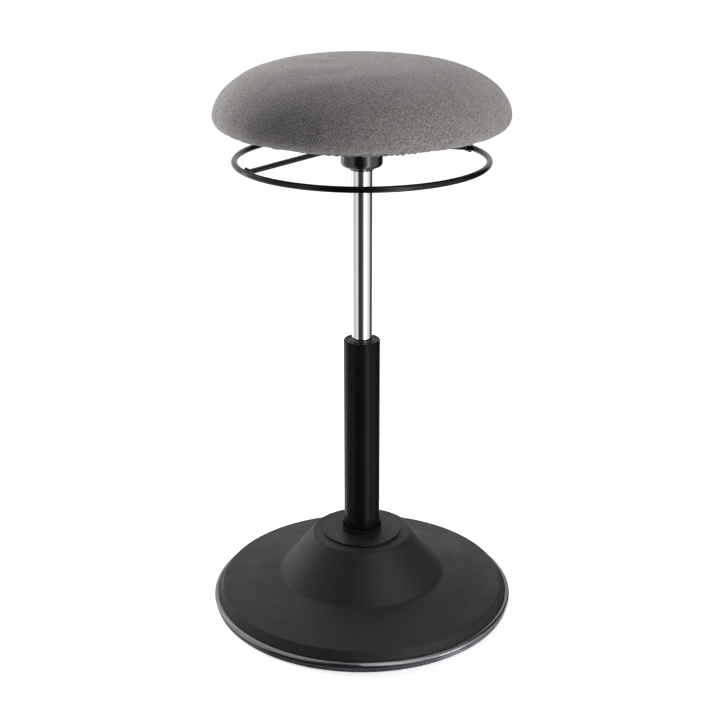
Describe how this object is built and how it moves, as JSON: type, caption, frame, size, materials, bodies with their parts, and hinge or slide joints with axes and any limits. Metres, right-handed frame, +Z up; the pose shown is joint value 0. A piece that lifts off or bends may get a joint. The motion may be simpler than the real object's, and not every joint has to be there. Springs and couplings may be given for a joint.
{
  "type": "wobble stool",
  "caption": "Height-adjustable wobble stool: padded round seat on a gas lift that tilts in a weighted flat base, with a release ring under the seat.",
  "frame": {"origin": "centre of the floor ring's lower face, on the floor", "axes": "+Z up along the column, -Y towards the pictured side, +X to the right in the picture"},
  "size_m": [0.426, 0.426, 0.7698],
  "materials": {
    "floor_rubber": "matt moulded rubber",
    "plate_steel": "black zinc-phosphated steel",
    "trim_silver": "satin silver",
    "cover_black": "fine-grained moulded plastic",
    "zinc_steel": "zinc plated",
    "cast_black": "die cast, dark",
    "mount_rubber": "matt moulded rubber",
    "machined_steel": "turned, oiled",
    "glide_nylon": "natural nylon",
    "disc_black": "semi-gloss moulded plastic",
    "tube_black": "semi-gloss powder coat",
    "bush_plastic": "moulded acetal",
    "machined_aluminium": "turned",
    "chrome": "hard chrome",
    "hub_black": "gloss paint",
    "ring_black": "gloss powder coat",
    "pan_plywood": "moulded plywood",
    "seat_foam": "open-cell foam",
    "seat_fabric": "heathered woven fabric",
    "elastic": "braided elastic"
  },
  "bodies": {
    "base": {"floor_ring": "floor_rubber", "base_plate": "plate_steel", "trim_ring": "trim_silver", "base_cover": "cover_black", "cover_screws": "zinc_steel", "mount_housing": "cast_black", "mount_retainer": "cast_black", "housing_bolts": "zinc_steel", "retainer_screws": "zinc_steel"},
    "mount": {"rubber_mount": "mount_rubber"},
    "column": {"ball_socket": "machined_steel", "outer_tube": "tube_black", "tube_end_plate": "machined_steel", "guide_bush": "bush_plastic", "lower_race": "machined_steel"},
    "glide": {"glide_washer": "glide_nylon"},
    "disc": {"cover_disc": "disc_black"},
    "bearing": {"bearing_cage": "glide_nylon", "bearing_balls": "machined_steel"},
    "rod": {"upper_race": "machined_steel", "piston_rod": "machined_steel", "rod_clip": "zinc_steel", "rod_washer": "zinc_steel", "rod_bumper": "mount_rubber", "piston": "machined_aluminium", "piston_nut": "zinc_steel"},
    "seat": {"pressure_tube": "chrome", "rod_guide": "machined_aluminium", "rod_seal": "mount_rubber", "gas_cylinder": "machined_steel", "valve_body": "machined_aluminium", "seat_hub": "hub_black", "hub_plate": "plate_steel", "hub_screws": "zinc_steel", "tee_nuts": "zinc_steel", "lever_pin": "zinc_steel", "seat_pan": "pan_plywood", "seat_cushion": "seat_foam", "seat_cover": "seat_fabric", "seat_hem": "seat_fabric", "hem_elastic": "elastic"},
    "release": {"release_ring": "ring_black", "release_bar": "ring_black", "bar_end_plates": "ring_black", "lever_bracket": "ring_black"},
    "button": {"release_button": "zinc_steel"}
  },
  "joints": [
    {"name": "tilt_fore_aft", "type": "hinge", "parent": "base", "child": "mount", "pos_m": [0, 0, 0.05], "axis": [1, 0, 0], "range_deg": [-6, 6], "stiffness_Nm_per_rad": 300},
    {"name": "tilt_sideways", "type": "hinge", "parent": "mount", "child": "column", "pos_m": [0, 0, 0.05], "axis": [0, 1, 0], "range_deg": [-6, 6], "stiffness_Nm_per_rad": 300},
    {"name": "disc_slide_x", "type": "slide", "parent": "base", "child": "glide", "axis": [1, 0, 0], "range_m": [-0.0062, 0.0062]},
    {"name": "disc_slide_y", "type": "slide", "parent": "glide", "child": "disc", "axis": [0, 1, 0], "range_m": [-0.0062, 0.0062]},
    {"name": "seat_swivel", "type": "hinge", "parent": "column", "child": "rod", "pos_m": [0, 0, 0.1], "axis": [0, 0, 1], "continuous": true},
    {"name": "bearing_turn", "type": "hinge", "parent": "column", "child": "bearing", "pos_m": [0, 0, 0.035], "axis": [0, 0, 1], "continuous": true},
    {"name": "seat_height", "type": "slide", "parent": "rod", "child": "seat", "axis": [0, 0, 1], "range_m": [-0.23, 0]},
    {"name": "ring_tip", "type": "hinge", "parent": "seat", "child": "release", "pos_m": [0.01782, 0.00908, 0.6525], "axis": [0.454, -0.891, 0], "range_deg": [0, 6], "stiffness_Nm_per_rad": 10, "springref_deg": -5.73},
    {"name": "button_press", "type": "slide", "parent": "seat", "child": "button", "axis": [0, 0, -1], "range_m": [0, 0.0022]}
  ],
  "couplings": [
    {"joint": "disc_slide_x", "follows": "tilt_sideways", "m_per_rad": 0.0588},
    {"joint": "disc_slide_y", "follows": "tilt_fore_aft", "m_per_rad": -0.0588},
    {"joint": "bearing_turn", "follows": "seat_swivel", "ratio": 0.5},
    {"joint": "button_press", "follows": "ring_tip", "m_per_rad": 0.0206}
  ]
}
